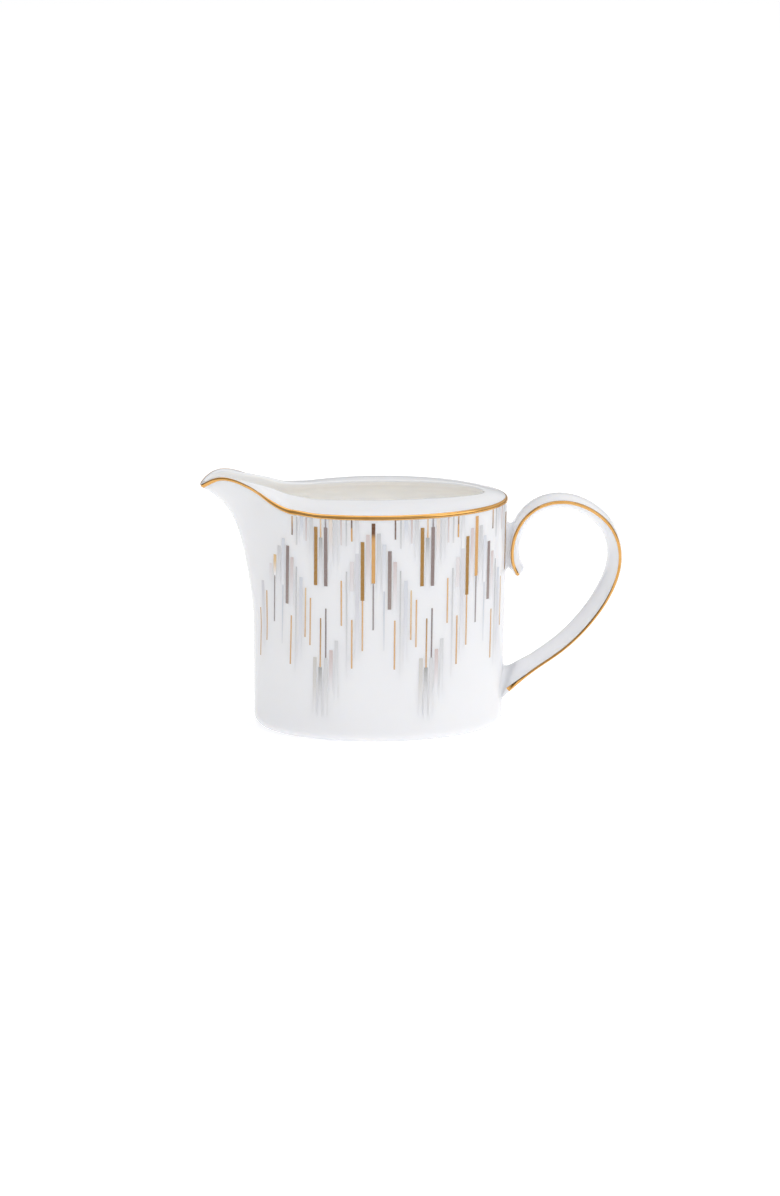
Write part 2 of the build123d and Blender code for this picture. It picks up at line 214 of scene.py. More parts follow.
def bend(start, corner, end, steps):
    """Points of a smooth bend between two points, towards the corner between them."""
    shares = [step / (steps + 1) for step in range(1, steps + 1)]
    return [
        start * (1 - share) ** 2 + corner * (2 * share * (1 - share)) + end * share**2
        for share in shares
    ]


def spread_between(low, high, steps):
    return [mix(low, high, step / (steps - 1)) for step in range(steps)]


EDGE_ROUND = 0.8  # rounding of the shoulder's outer edge, under the gilding
EDGE_SHARE = 0.45  # and the most of the shoulder's width that it may take, by the spout
EDGE_STEPS = 5
MOUTH_ROUND = 2.0  # rounding of the mouth's edge
MOUTH_SHARE = 0.4
MOUTH_STEPS = 6
RECESS_SHARES = (0.12, 0.3, 0.5, 0.7, 0.85, 0.95)  # rings under the foot, out to its ring
FLOOR_SHARES = (0.9, 0.75, 0.55, 0.35, 0.15)  # rings on the hollow's floor, in to its middle
TAPER_STEPS = 3  # up the inner side of the foot ring
TURN_STEPS = 8  # round the foot's edge and the hollow's lower edge
WALL_FOOT = 5.0  # lowest of the wall's rings
WALL_STEPS = 44
SHOULDER_STEPS = 16
THROAT_STEPS = 14
HOLLOW_STEPS = 18
THROAT_FOOT = 69.0
HOLLOW_TOP = 66.0
GLAZED_MOUTH_STEPS = 4  # of the mouth's edge that already have the inside's glaze, with its painted light and shade
RING_GAP = 0.4  # between the wall's last ring and the shoulder's edge
MOUTH_GAP = 0.5  # and between the mouth's edge and the throat's first ring


def shoulder_point(edge, mouth, share):
    """Point on the shoulder between the outer edge and the mouth's edge."""
    x, y = mix(edge.x, mouth.x, share), mix(edge.y, mouth.y, share)
    return Vector((x, y, roof_height(x, y)))


def edge_frame(angle):
    """The shoulder's outer edge, the mouth's edge and the width between them at an angle."""
    edge = top_of(wall_point, angle)
    mouth = top_of(hollow_point, angle)
    return edge, mouth, (mouth - edge).length


def edge_bend(angle, edge, mouth, reach):
    """Points that round the shoulder's outer edge, from the wall below it to the shoulder above."""
    below = wall_point(angle, edge.z - reach)
    above = shoulder_point(edge, mouth, reach / (mouth - edge).length)
    return [below] + bend(below, edge, above, EDGE_STEPS) + [above]


def ring_at(point, share, z):
    """The same place round the oval, on a ring drawn in to a share of its distance."""
    return Vector((point.x * share, point.y * share, z))


def foot_line(angle):
    """Outline of the underside: the recess, the foot ring and the rounded edge of the foot."""
    ring_inner = FOOT_ROUND + FOOT_RING_WIDTH
    slope_top = wall_point(angle, 0, ring_inner + FOOT_RING_TAPER) + Vector((0, 0, FOOT_RECESS))
    slope_foot = wall_point(angle, 0, ring_inner)
    line = [ring_at(slope_top, share, FOOT_RECESS) for share in RECESS_SHARES]
    line += bend(slope_top, slope_top.lerp(slope_foot, 0.5), slope_foot, TAPER_STEPS)
    line += [slope_foot, wall_point(angle, 0, FOOT_ROUND + FOOT_RING_WIDTH / 2)]
    for step in range(TURN_STEPS + 1):
        turn = pi / 2 * step / TURN_STEPS
        inset = FOOT_ROUND * (1 - sin(turn))
        line.append(wall_point(angle, FOOT_ROUND * (1 - cos(turn)), inset))
    return line


def hollow_line(angle, top):
    """Outline of the hollow, from a height below the mouth's edge down to the floor's middle."""
    heights = spread_between(top, THROAT_FOOT, THROAT_STEPS)
    heights += spread_between(HOLLOW_TOP, FLOOR + FLOOR_ROUND, HOLLOW_STEPS)
    line = [hollow_point(angle, z) for z in heights]
    for step in range(1, TURN_STEPS + 1):
        turn = pi / 2 * step / TURN_STEPS
        height = FLOOR + FLOOR_ROUND * (1 - sin(turn))
        line.append(hollow_point(angle, height, FLOOR_ROUND * (1 - cos(turn))))
    return line + [ring_at(line[-1], share, FLOOR) for share in FLOOR_SHARES]


def body_line(angle):
    """The body's outline at an angle, from under the foot, up the outside and down the hollow."""
    edge, mouth, width = edge_frame(angle)
    round_out = min(EDGE_ROUND, width * EDGE_SHARE)
    round_in = min(MOUTH_ROUND, width * MOUTH_SHARE)
    rounded = edge_bend(angle, edge, mouth, round_out)
    line = foot_line(angle)
    for z in spread_between(WALL_FOOT, rounded[0].z - RING_GAP, WALL_STEPS):
        line.append(wall_point(angle, z))
    line += rounded
    for share in spread_between(round_out / width, 1 - round_in / width, SHOULDER_STEPS)[1:]:
        line.append(shoulder_point(edge, mouth, share))
    below_mouth = hollow_point(angle, mouth.z - round_in)
    line += bend(line[-1], mouth, below_mouth, MOUTH_STEPS) + [below_mouth]
    return line + hollow_line(angle, below_mouth.z - MOUTH_GAP)


AROUND = 320
OUTLINE_CROWDING = 0.5  # crowds the angles round the oval towards the spout


def round_angles(count):
    turns = [2 * pi * step / count for step in range(count)]
    return [turn + OUTLINE_CROWDING * sin(turn) for turn in turns]


# --- Meshes -------------------------------------------------------------------


CREASE = radians(60)


def to_frame(point):
    return ((point[0] + BODY_X) * MM, point[1] * MM, point[2] * MM)


def new_piece(name, points, faces, slot, *nodes):
    """A mesh piece of the jug that stands for CAD nodes, smooth but for edges past the crease."""
    mesh = bpy.data.meshes.new(name)
    mesh.from_pydata([to_frame(point) for point in points], [], faces)
    mesh.validate()
    mesh.shade_smooth()
    mesh.set_sharp_from_angle(angle=CREASE)
    piece = bpy.data.objects.new(name, mesh)
    scene.collection.objects.link(piece)
    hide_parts(*nodes)
    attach(piece, "root")
    return piece


def quad_rows(rows, closed_along):
    """Quads between neighbouring rows of points, each row closed on itself."""
    faces = []
    count = len(rows[0])
    pairs = len(rows) if closed_along else len(rows) - 1
    for row in range(pairs):
        after = (row + 1) % len(rows)
        for column in range(count):
            beside = (column + 1) % count
            corners = ((row, column), (row, beside), (after, beside), (after, column))
            faces.append(tuple(ring * count + place for ring, place in corners))
    return faces


def capped(rows):
    """Points and faces of a closed skin over rows of points, with a point in the middle of each end."""
    points = [point for row in rows for point in row]
    faces = quad_rows(rows, False)
    count = len(rows[0])
    for row, turned in ((0, True), (len(rows) - 1, False)):
        middle = sum((Vector(point) for point in rows[row]), Vector()) / count
        points.append(middle)
        for column in range(count):
            pair = (row * count + column, row * count + (column + 1) % count)
            if turned:
                pair = pair[::-1]
            faces.append((*pair, len(points) - 1))
    return points, faces


body_lines = [body_line(angle) for angle in round_angles(AROUND)]
body_rows = [list(row) for row in zip(*body_lines)]
body = new_piece("porcelain_body", *capped(body_rows), "porcelain", "jug_body")
hollow_rows = GLAZED_MOUTH_STEPS + THROAT_STEPS + HOLLOW_STEPS + TURN_STEPS + len(FLOOR_SHARES)
first_inside = (len(body_rows) - hollow_rows) * AROUND
first_under_foot = (len(body_rows) - 1) * AROUND  # the cap under the foot comes before the floor's
# The hollow and the mouth's inner edge take the inside's glaze, with its painted light and shade.
for face in body.data.polygons:
    if face.index >= first_inside and not 0 <= face.index - first_under_foot < AROUND:
        face.material_index = 1

# --- Handle -------------------------------------------------------------------

STRAP_LINE = [
    (45.6, 50.8),
    (43.6, 55.0),
    (43.1, 60.2),
    (45.6, 69.0),
    (51.6, 74.9),
    (60.0, 76.8),
    (69.2, 74.0),
    (76.6, 67.0),
    (79.3, 58.0),
    (77.3, 47.2),
    (70.4, 35.5),
    (60.6, 25.4),
    (50.6, 18.2),
    (40.6, 9.6),
]
# Share of the way along the strap, its width, and the depth of its belly inside the loop.
STRAP_STATIONS = [
    (0.0, 10.0, 3.1),
    (0.1, 11.0, 3.1),
    (0.3, 11.4, 3.5),
    (0.62, 11.4, 4.1),
    (0.88, 11.4, 3.6),
    (1.0, 12.2, 6.2),
]
STRAP_CROWN = 1.08  # outer face above the strap's edges
FINE_KNOTS = 2001  # places at which the strap's length is measured
NEARBY = 1e-3  # step along a curve or round the wall that gives its direction
NEARBY_HEIGHT = 0.05


class SmoothLine:
    """A curve through points with even curvature, read by its share of the length."""

    def __init__(self, points):
        points = np.array(points, float)
        gaps = np.linalg.norm(np.diff(points, axis=0), axis=1)
        self.knots = np.concatenate([[0], np.cumsum(gaps)])
        count = len(points)
        matrix = np.zeros((count, count))
        target = np.zeros((count, points.shape[1]))
        matrix[0, 0] = matrix[-1, -1] = 1
        for row in range(1, count - 1):
            before, after = gaps[row - 1], gaps[row]
            matrix[row, row - 1 : row + 2] = before, 2 * (before + after), after
            rise = (points[row + 1] - points[row]) / after
            target[row] = 6 * (rise - (points[row] - points[row - 1]) / before)
        self.points = points
        self.bends = np.linalg.solve(matrix, target)
        self.fine = np.linspace(0, self.knots[-1], FINE_KNOTS)
        places = np.array([self.at_knot(knot) for knot in self.fine])
        lengths = np.linalg.norm(np.diff(places, axis=0), axis=1)
        self.lengths = np.concatenate([[0], np.cumsum(lengths)])

    def at_knot(self, knot):
        row = int(np.clip(np.searchsorted(self.knots, knot) - 1, 0, len(self.knots) - 2))
        gap = self.knots[row + 1] - self.knots[row]
        after = (knot - self.knots[row]) / gap
        before = 1 - after
        place = before * self.points[row] + after * self.points[row + 1]
        sag = (before**3 - before) * self.bends[row] + (after**3 - after) * self.bends[row + 1]
        return place + sag * gap**2 / 6

    def at(self, share):
        return self.at_knot(np.interp(share * self.lengths[-1], self.lengths, self.fine))

    def tangent(self, share):
        step = self.at(min(share + NEARBY, 1)) - self.at(max(share - NEARBY, 0))
        return step / np.linalg.norm(step)


strap_line = SmoothLine(STRAP_LINE)
strap_shares, strap_widths, strap_bellies = zip(*STRAP_STATIONS)
SCROLL_CAP = 0.009  # share of the strap over which the scroll's end rounds off
SCROLL_LEAST = 0.03  # share of its depth left at the very end
SCROLL_NARROW = 0.25  # and of its width
EDGE_SOFT = 0.28  # rounding of the strap's edges
EDGE_SOFT_SHARE = 0.1
SOFT_STEPS = 3


def strap_size(share):
    """Half width, crown and belly of the strap, which all shrink at the scroll's rounded end."""
    half_width = np.interp(share, strap_shares, strap_widths) / 2
    belly = np.interp(share, strap_shares, strap_bellies)
    cap = 1.0
    if share < SCROLL_CAP:
        cap = mix(SCROLL_LEAST, 1.0, sqrt(max(1 - (1 - share / SCROLL_CAP) ** 2, 0.0)))
    return half_width * mix(SCROLL_NARROW, 1.0, cap), STRAP_CROWN * cap, belly * cap


def strap_point(share, side, out):
    """Point of the strap from its line: sideways along +Y, and out from the loop."""
    place, tangent = strap_line.at(share), strap_line.tangent(share)
    return Vector((place[0] - tangent[1] * out, side, place[1] + tangent[0] * out))


def arc_out(half_width, sagitta, side):
    """How far a shallow arc across the strap stands out from its edges, at a place across it."""
    radius = (half_width**2 + sagitta**2) / (2 * sagitta)
    return sqrt(max(radius**2 - side**2, 0)) - (radius - sagitta)


def soft_edge(half_width):
    """How far across the strap its rounded edge begins."""
    return half_width - min(EDGE_SOFT, half_width * EDGE_SOFT_SHARE)


CROWN_STEPS = 15
BELLY_STEPS = 23


def lens(share):
    """Section of the strap as (sideways, out) pairs: over the crown, then back round the belly."""
    half_width, crown, belly = strap_size(share)
    reach = soft_edge(half_width)
    over = [-reach * cos(pi * step / (CROWN_STEPS - 1)) for step in range(CROWN_STEPS)]
    under = [reach * cos(pi * step / (BELLY_STEPS - 1)) for step in range(BELLY_STEPS)]
    top = [(y, arc_out(half_width, crown, y)) for y in over]
    low = [(y, -arc_out(half_width, belly, y)) for y in under]
    return top, low, half_width


def rounded_edge(start, tip, end):
    """The pairs of a smooth bend between two, towards the tip of the strap's edge."""
    shares = [step / (SOFT_STEPS + 1) for step in range(1, SOFT_STEPS + 1)]
    return [
        tuple(
            first * (1 - share) ** 2 + corner * 2 * share * (1 - share) + last * share**2
            for first, corner, last in zip(start, tip, end)
        )
        for share in shares
    ]


def strap_section(share):
    top, low, half_width = lens(share)
    right = rounded_edge(top[-1], (half_width, 0.0), low[0])
    left = rounded_edge(low[-1], (-half_width, 0.0), top[0])
    return top + right + low + left


def on_wall(point, inset):
    """The place on the body's plain oval wall, or just inside it, straight in from a point."""
    half_length, half_width = half_axes(point.z)
    x = half_length * sqrt(max(1 - (point.y / half_width) ** 2, 0)) - inset
    return Vector((x, point.y, point.z))


STRAP_RINGS = 190
RING_CROWDING = 1.12  # crowds the rings a little towards the scroll
ROOT_FROM = 0.80  # share of the strap from which it is fitted to the wall
ROOT_SINK = 0.5  # how deep in the wall it ends


def root_share(place_at, depth):
    """How far along the strap a line on it comes to a depth outside the wall, or inside if below 0."""

    def is_clear(share):
        point = strap_point(share, *place_at(share))
        return point.x - on_wall(point, 0).x > depth

    return halved(is_clear, ROOT_FROM, 1.0)


def section_share(index, depth):
    """The same for the line along the strap through one point of its section."""
    return root_share(lambda share: strap_section(share)[index], depth)


def strap_lines():
    """Rows along the strap, pulled back at the root so that all of them end just in the wall."""
    count = len(strap_section(0.5))
    ends = [section_share(index, -ROOT_SINK) for index in range(count)]
    rows = []
    for ring in range(STRAP_RINGS):
        share = (ring / (STRAP_RINGS - 1)) ** RING_CROWDING
        row = []
        for index in range(count):
            place = share
            if share > ROOT_FROM:
                place = mix(ROOT_FROM, ends[index], (share - ROOT_FROM) / (1 - ROOT_FROM))
            row.append(strap_point(place, *strap_section(place)[index]))
        rows.append(row)
    return rows


handle = new_piece("strap_handle", *capped(strap_lines()), "porcelain_handle", "handle")

# --- Slip joints --------------------------------------------------------------

FLARE_ALONG = 4.5  # how far the root's flare runs up the middle of the strap's belly
FLARE_OUT = 3.0  # and how far it spreads on the wall there
FLARE_LEAST = 0.5  # both along the strap's outer face
FLARE_STEPS = 7
FLARE_SINK = 0.35  # how deep the slip's hidden side lies in the wall
FLARE_INSET = 0.4  # and how far in from the strap's edge on the wall
FLARE_CORE = 0.9  # its hidden side up the strap, as a share of the strap's section


def root_flare():
    """Ring of slip round the strap's root: a hollow fillet from the strap down on to the wall."""
    count = len(strap_section(1.0))
    shares = [section_share(index, 0.0) for index in range(count)]
    length = strap_line.lengths[-1]
    feet = [strap_point(share, *strap_section(share)[i]) for i, share in enumerate(shares)]
    centre = sum(feet, Vector()) / count
    columns = []
    for index, (share, foot) in enumerate(zip(shares, feet)):
        belly = max(0.0, -strap_section(share)[index][1] / strap_size(share)[2])
        back = share - mix(FLARE_LEAST, FLARE_ALONG, belly) / length
        sideways, out = strap_section(back)[index]
        top = strap_point(back, sideways, out)
        away = foot - centre
        away.x = 0
        away.normalize()
        spread = on_wall(foot + away * mix(FLARE_LEAST, FLARE_OUT, belly), 0)
        inner_top = strap_point(back, FLARE_CORE * sideways, FLARE_CORE * out)
        inner_foot = on_wall(foot - away * FLARE_INSET, FLARE_SINK)
        column = [top] + bend(top, foot, spread, FLARE_STEPS) + [spread]
        columns.append(column + [on_wall(spread, FLARE_SINK), inner_foot, inner_top])
    return [list(row) for row in zip(*columns)]


def ring_mesh(rows):
    return [point for row in rows for point in row], quad_rows(rows, True)


lower_joint = new_piece("root_slip", *ring_mesh(root_flare()), "slip_pad", "handle_lower_joint")

PAD_HALF_WIDTH = 4.2
PAD_HALF_HEIGHT = 9.0
PAD_MIDDLE = 60.5
PAD_PINCH = 0.14  # how much the pad is pinched in half way between the wall and the scroll
PAD_ROWS = 11
PAD_AROUND = 64
PAD_SINK = 0.4  # how deep the pad's ends lie in the wall
SCROLL_SINK = 0.5  # and in the scroll
SCROLL_SHARE = 0.2  # share of the strap that can lie behind the pad
SCROLL_SAMPLES = 60
SCROLL_HALF_WIDTH = 5.0  # least half width of the strap there

scroll_samples = [
    (strap_point(share, 0, 0), strap_size(share)[0])
    for share in spread_between(0.0, SCROLL_SHARE, SCROLL_SAMPLES)
]


def scroll_back(y, z):
    """X just inside the back of the scroll at a height."""
    middle, half_width = min(scroll_samples, key=lambda sample: abs(sample[0].z - z))
    return middle.x - arc_out(max(half_width, SCROLL_HALF_WIDTH), STRAP_CROWN, y) + SCROLL_SINK


def pad_rows():
    """Slip pad between the wall and the back of the scroll, pinched in at its middle."""
    rows = []
    for share in spread_between(0.0, 1.0, PAD_ROWS):
        pinch = 1 - PAD_PINCH * sin(pi * share)
        row = []
        for turn in range(PAD_AROUND):
            angle = 2 * pi * turn / PAD_AROUND
            y = PAD_HALF_WIDTH * pinch * cos(angle)
            z = PAD_MIDDLE + PAD_HALF_HEIGHT * pinch * sin(angle)
            near = on_wall(Vector((0, y, z)), PAD_SINK).x
            row.append(Vector((mix(near, scroll_back(y, z), share), y, z)))
        rows.append(row)
    return rows


upper_joint = new_piece("scroll_slip", *capped(pad_rows()), "slip_pad", "handle_upper_joint")

# --- Gilding ------------------------------------------------------------------

GILT = 0.07
GILT_SINK = 0.12  # how deep the rim gold's hidden side lies in the glaze
GILT_LOW = 1.0  # gold below the shoulder's edge
GILT_HIGH = 0.8  # and above it
GILT_SHARE = 0.2  # the most of the shoulder's width that it may take, by the spout
GILT_SHIFT = 0.7  # share of the gold lost there that is made up below the edge


def offset_row(row, before, after, lift):
    """Points of a row lifted off their surface, whose direction comes from the rows either side."""
    lifted = []
    count = len(row)
    for index, point in enumerate(row):
        along = row[(index + 1) % count] - row[index - 1]
        across = after[index] - before[index]
        normal = along.cross(across).normalized()
        lifted.append(point + normal * lift)
    return lifted


def band_rows():
    """Rows of the rim's gold, from the wall below the shoulder's edge up on to the shoulder."""
    lines = []
    for angle in round_angles(AROUND * 2):
        edge, mouth, width = edge_frame(angle)
        high = min(GILT_HIGH, width * GILT_SHARE)
        low = GILT_LOW + (GILT_HIGH - high) * GILT_SHIFT
        reach = min(EDGE_ROUND, high)
        foot = wall_point(angle, edge.z - low)
        middle = wall_point(angle, edge.z - (low + reach) / 2)
        lines.append([foot, middle] + edge_bend(angle, edge, mouth, reach))
    return [list(row) for row in zip(*lines)]


def coat(rows, lift, sink):
    """A thin closed coat over open rows of points, lifted above the surface and sunk under it."""
    over, under = [], []
    for number, row in enumerate(rows):
        before = rows[max(number - 1, 0)]
        after = rows[min(number + 1, len(rows) - 1)]
        edge = number in (0, len(rows) - 1)
        over.append(offset_row(row, before, after, 0.0 if edge else lift))
        under.append(offset_row(row, before, after, -sink))
    return over + under[::-1]


rim_coat = ring_mesh(coat(band_rows(), GILT, GILT_SINK))
gilt_pieces = [new_piece("gilt_rim", *rim_coat, "gilding", "gilt_rim_band")]

LINE_REACH = 0.8  # width of the gold on each face of the strap, from its edge
LINE_SHARE = 0.5  # and the most of the strap's half width that it may take
GOLD_STOP = 2.9  # how far from the wall the gold ends at the strap's root
GOLD_TAPER = 5.0  # length over which it narrows there
GOLD_END = 0.3  # share of its width left at that end
GOLD_START = 0.0015  # share of the strap at which it starts, on the scroll's rounded end
GOLD_RINGS = 260
GOLD_RISE = 1.02  # the gold's outer skin against the strap's depth, and its hidden side
GOLD_CORE = 0.8
GOLD_SINK = 0.2


def edge_skin(share, reach):
    """Section of the gold over the strap's edge from face to face, and back inside the strap."""
    half_width, crown, belly = strap_size(share)
    reach = min(reach, half_width * LINE_SHARE)
    crown_turn, belly_turn = (2 * atan2(depth, half_width) for depth in (crown, belly))
    on_crown = (half_width - reach * cos(crown_turn), reach * sin(crown_turn))
    on_belly = (half_width - reach * cos(belly_turn), -reach * sin(belly_turn))
    soft = soft_edge(half_width)
    crown_edge = (soft, arc_out(half_width, crown, soft))
    belly_edge = (soft, -arc_out(half_width, belly, soft))
    over_edge = [crown_edge, *rounded_edge(crown_edge, (half_width, 0.0), belly_edge), belly_edge]
    skin = [(y + GILT, out * GOLD_RISE) for y, out in over_edge]
    skin = [(on_crown[0], on_crown[1] * GOLD_RISE), *skin, (on_belly[0], on_belly[1] * GOLD_RISE)]
    core = [(y - GOLD_SINK, out * GOLD_CORE) for y, out in (on_belly, *over_edge[::-1], on_crown)]
    return skin + core


def edge_line(side):
    """Rows of one gold line along an edge of the strap: side -1 is the front and 1 the back."""
    rows = []
    last = root_share(lambda share: (side * strap_size(share)[0], 0.0), GOLD_STOP)
    taper = GOLD_TAPER / strap_line.lengths[-1]
    for share in spread_between(GOLD_START, last, GOLD_RINGS):
        narrow = min(1.0, mix(GOLD_END, 1.0, (last - share) / taper))
        skin = edge_skin(share, LINE_REACH * narrow)
        row = [strap_point(share, side * y, out) for y, out in skin]
        rows.append(row if side < 0 else row[::-1])
    return rows


for side, name in ((-1, "front"), (1, "back")):
    node = f"gilt_handle_line_{name}"
    piece = new_piece(f"gilt_line_{name}", *capped(edge_line(side)), "gilding", node)
    gilt_pieces.append(piece)

# --- Print --------------------------------------------------------------------

COLUMN_PITCH = 1.77
FRONT_COLUMN = 13.2  # the print's column that falls on the middle of the front
TOWARDS_SPOUT = 0.0013  # the print is drawn in a little towards the spout
UPRIGHT_FROM = 4  # column from which the strokes are set upright against the leaning spout
UPRIGHT_FULL = -4  # column at which they are fully so, and past which they lean back a little more
UPRIGHT_GROWTH = 0.1
UPRIGHT_HEIGHT = 60.0  # height at which they keep their place
UPRIGHT_SLOPE = 0.03
REPEAT = 20  # columns in one repeat of the zigzag
REPEATS = (-1, 0, 1, 2)
FIRST_COLUMN = -13
LAST_COLUMN = 40
LAST_LOW_COLUMN = 38  # lower down, where the strap's root takes up the wall
PRINT_TOP = 76.55
TRIM_COLUMN = -5  # towards the spout from here the print's top edge steps down
TRIM_DROP = 0.9
TRIM_SLOPE = 3.3
BAR = 1.2
LINE = 0.5
SHORTEST_BAR = 6.6  # strokes that the trim leaves no longer than this are left out
SHORTEST_LINE = 2.0
PRINT_LIFT = 0.02
PRINT_SINK = 0.05
STROKE_STEP = 1.6  # length of stroke between its rows of points
STRENGTH_SHARES = (0, 0.55, 1)  # where along a stroke its three strengths hold
BROWN_FROM = 0.72  # share of the copper bar at which its brown top begins
BROWN_BLEND = 0.12
WALL_STRIDES = 80

GOLD = (0.37, 0.19, 0.035)
ORANGE_GOLD = (0.66, 0.36, 0.12)
PALE_GOLD = (0.74, 0.52, 0.28)
BROWN = (0.13, 0.045, 0.010)
TAUPE = (0.27, 0.205, 0.195)
TAUPE_LIGHT = (0.35, 0.28, 0.26)
MAUVE = (0.20, 0.145, 0.15)
PINK = (0.60, 0.45, 0.42)
BLUE = (0.57, 0.61, 0.69)
LILAC = (0.56, 0.55, 0.61)
GREY = (0.50, 0.50, 0.51)
DARK_GREY = (0.36, 0.36, 0.35)
GREEN_GREY = (0.53, 0.56, 0.53)
SAND = (0.50, 0.46, 0.38)

# Strengths of the copper bar that the trim under the spout cuts short, faint at its foot.
CUT_BACK = (0, 2.2, 2.2)

# Strokes of one repeat: column, bottom, top, ink at the bottom and at the top, and how strong the
# ink is at the bottom, the middle and the top.
STROKES = {
    "print_gold_bars": [
        (0, 53.9, 73.7, GOLD, GOLD, (1, 1, 1)),
        (9, 49.4, 69.3, GOLD, GOLD, (1, 1, 1)),
    ],
    "print_copper_bars": [(11, 55.3, 75.6, ORANGE_GOLD, BROWN, (1, 1, 1))],
    "print_taupe_bars": [
        (2, 53.8, 73.7, TAUPE, TAUPE, (1, 1, 1)),
        (14, 46.4, 66.2, TAUPE_LIGHT, TAUPE, (1, 1, 1)),
    ],
    "print_grey_bars": [
        (0, 9.4, 29.3, SAND, SAND, (0, 0.45, 0.6)),
        (1, 53.0, 70.2, GREY, DARK_GREY, (0, 0.35, 0.9)),
        (1, 9.0, 26.0, GREY, DARK_GREY, (0, 0.4, 0.95)),
        (2, 9.0, 29.3, SAND, GREY, (0, 0.35, 0.5)),
    ],
    "print_pale_bars": [
        (3, 62.5, PRINT_TOP, PINK, PALE_GOLD, (0, 0.35, 0.5)),
        (3, 18.6, 32.1, PINK, PINK, (0, 0.5, 0.8)),
        (4, 60.9, PRINT_TOP, GREY, GREY, (0, 0.35, 0.5)),
        (4, 15.2, 35.5, GREEN_GREY, GREY, (0, 0.35, 0.5)),
        (7, 52.5, 62.6, PINK, PINK, (0.2, 0.4, 0.3)),
        (8, 29.2, 65.4, LILAC, LILAC, (0, 0.5, 0.5)),
        (8, 65.4, PRINT_TOP, GREY, GREY, (0, 0.2, 0.45)),
        (10, 52.5, 71.8, PINK, PINK, (0, 0.5, 0.7)),
        (12, 52.6, 72.2, GREY, GREY, (0, 0.5, 0.7)),
        (13, 52.6, 68.5, BLUE, BLUE, (0, 0.4, 0.6)),
        (15, 45.9, 62.5, PINK, PINK, (0, 0.4, 0.7)),
        (17, 27.4, 56.1, LILAC, BLUE, (0, 0.45, 0.6)),
        (17, 69.6, PRINT_TOP, BLUE, BLUE, (0, 0.5, 0.7)),
        (19, 63.0, PRINT_TOP, GREEN_GREY, GREY, (0, 0.4, 0.6)),
    ],
    "print_gold_lines": [
        (1, 70.2, PRINT_TOP, ORANGE_GOLD, PALE_GOLD, (0.9, 0.8, 0.8)),
        (5, 40.6, 56.0, ORANGE_GOLD, ORANGE_GOLD, (0.8, 0.9, 0.9)),
        (7, 26.1, 42.8, ORANGE_GOLD, ORANGE_GOLD, (0.9, 0.9, 0.9)),
        (7, 69.4, 73.9, ORANGE_GOLD, ORANGE_GOLD, (1, 1, 1)),
        (9, 32.2, 49.4, ORANGE_GOLD, ORANGE_GOLD, (0.8, 0.9, 0.9)),
        (15, 25.8, 42.6, ORANGE_GOLD, ORANGE_GOLD, (0.9, 0.9, 0.9)),
        (18, 35.8, 52.7, ORANGE_GOLD, PALE_GOLD, (0.8, 0.9, 0.9)),
        (19, 33.2, 49.4, ORANGE_GOLD, ORANGE_GOLD, (0.8, 0.8, 0.9)),
    ],
    "print_dark_lines": [
        (1, 26.0, 42.8, ORANGE_GOLD, GOLD, (0.9, 0.9, 0.9)),
        (2, 29.3, 46.2, MAUVE, MAUVE, (0.9, 0.9, 0.9)),
        (2, 73.7, PRINT_TOP, MAUVE, MAUVE, (0.9, 0.8, 0.6)),
        (7, 73.9, PRINT_TOP, BROWN, BROWN, (0.9, 0.9, 0.9)),
        (11, 39.4, 55.3, MAUVE, MAUVE, (0.8, 0.8, 0.8)),
        (15, 70.1, PRINT_TOP, BROWN, BROWN, (0.9, 0.9, 0.9)),
    ],
    "print_pale_lines": [
        (5, 68.0, PRINT_TOP, PINK, PINK, (0.4, 0.7, 0.9)),
        (6, 67.7, PRINT_TOP, GREY, GREY, (0.4, 0.7, 0.8)),
        (6, 22.0, 59.2, GREY, GREY, (0, 0.6, 0.7)),
        (13, 32.3, 52.6, BLUE, BLUE, (0.2, 0.7, 0.7)),
        (16, 66.9, PRINT_TOP, GREY, GREY, (0.4, 0.7, 0.9)),
        (16, 22.3, 59.5, GREY, GREY, (0, 0.6, 0.8)),
        (18, 68.6, PRINT_TOP, PINK, PINK, (0.4, 0.7, 0.9)),
    ],
}


def column_angle(offset):
    """Angle round the oval at a distance along the wall from the front's middle."""
    half_length, half_width = half_axes(RIM_HEIGHT / 2)
    stride = (offset + TOWARDS_SPOUT * min(offset, 0) ** 2) / WALL_STRIDES
    angle = -pi / 2
    for _ in range(WALL_STRIDES):
        angle += stride / hypot(half_length * sin(angle), half_width * cos(angle))
    return angle


def upright(column, z):
    """How far along the wall a stroke near the spout shifts at a height, to look upright there."""
    near_spout = smoothstep((UPRIGHT_FROM - column) / (UPRIGHT_FROM - UPRIGHT_FULL))
    near_spout *= 1 + UPRIGHT_GROWTH * max(UPRIGHT_FULL - column, 0)
    return UPRIGHT_SLOPE * (z - UPRIGHT_HEIGHT) * near_spout


def spout_trim(column):
    """Height at which the print ends in a column; its top edge steps down under the spout."""
    if column >= TRIM_COLUMN:
        return PRINT_TOP
    return PRINT_TOP - TRIM_DROP - TRIM_SLOPE * (TRIM_COLUMN - column)


def lifted_wall(angle, z, lift, side):
    """Point just off the wall, on the front for side -1 or mirrored to the back for side 1."""
    point = wall_point(angle, z)
    around = wall_point(angle + NEARBY, z) - point
    up = wall_point(angle, z + NEARBY_HEIGHT) - point
    point += around.cross(up).normalized() * lift
    point.y *= -side
    return point


